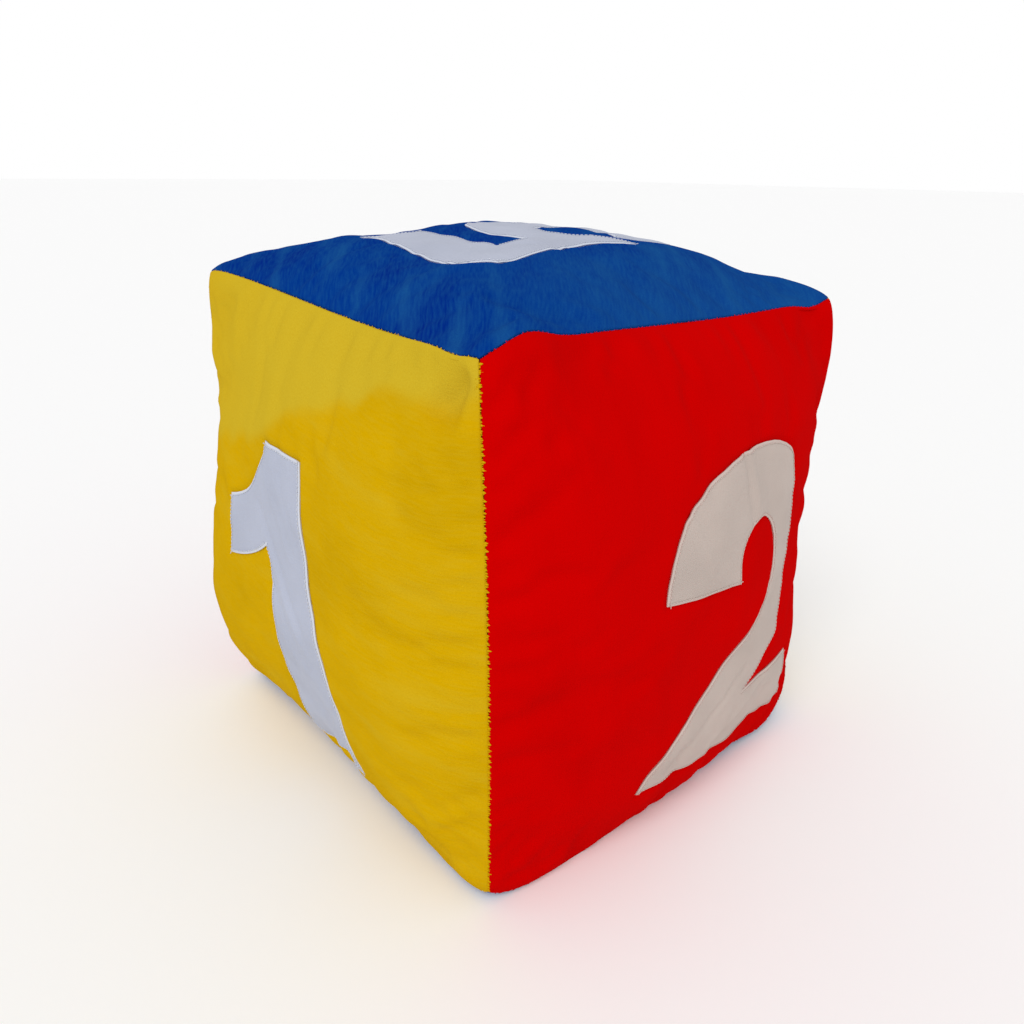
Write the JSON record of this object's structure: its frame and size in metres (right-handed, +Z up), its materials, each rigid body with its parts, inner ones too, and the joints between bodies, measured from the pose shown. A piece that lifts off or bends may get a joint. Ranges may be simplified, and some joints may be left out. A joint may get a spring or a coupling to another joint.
{
  "type": "soft dice",
  "caption": "Large stuffed plush dice: crowned square panels sewn along every edge over a fibre filling, with a cloth numeral sewn to each face.",
  "frame": {"origin": "middle of the dice's footprint, on the surface it stands on", "axes": "+Z up; -Y out of the yellow face with the numeral 1, +X out of the red face with the numeral 2"},
  "size_m": [0.4975, 0.4975, 0.4663],
  "materials": {
    "yellow_plush": "short brushed pile",
    "red_plush": "short brushed pile",
    "blue_plush": "short brushed pile",
    "numeral_cloth": "smooth woven cloth",
    "seam_thread": "matt overlock thread",
    "stuffing_fibre": "loose fibre"
  },
  "bodies": {
    "root": {"front_panel": "yellow_plush", "numeral_1": "numeral_cloth", "right_panel": "red_plush", "numeral_2": "numeral_cloth", "back_panel": "yellow_plush", "numeral_3": "numeral_cloth", "left_panel": "red_plush", "numeral_4": "numeral_cloth", "top_panel": "blue_plush", "numeral_5": "numeral_cloth", "bottom_panel": "blue_plush", "numeral_6": "numeral_cloth", "seam_binding_front_right": "seam_thread", "seam_binding_front_left": "seam_thread", "seam_binding_front_top": "seam_thread", "seam_binding_front_bottom": "seam_thread", "seam_binding_right_back": "seam_thread", "seam_binding_right_top": "seam_thread", "seam_binding_right_bottom": "seam_thread", "seam_binding_back_left": "seam_thread", "seam_binding_back_top": "seam_thread", "seam_binding_back_bottom": "seam_thread", "seam_binding_left_top": "seam_thread", "seam_binding_left_bottom": "seam_thread", "fibre_stuffing": "stuffing_fibre"}
  },
  "joints": []
}
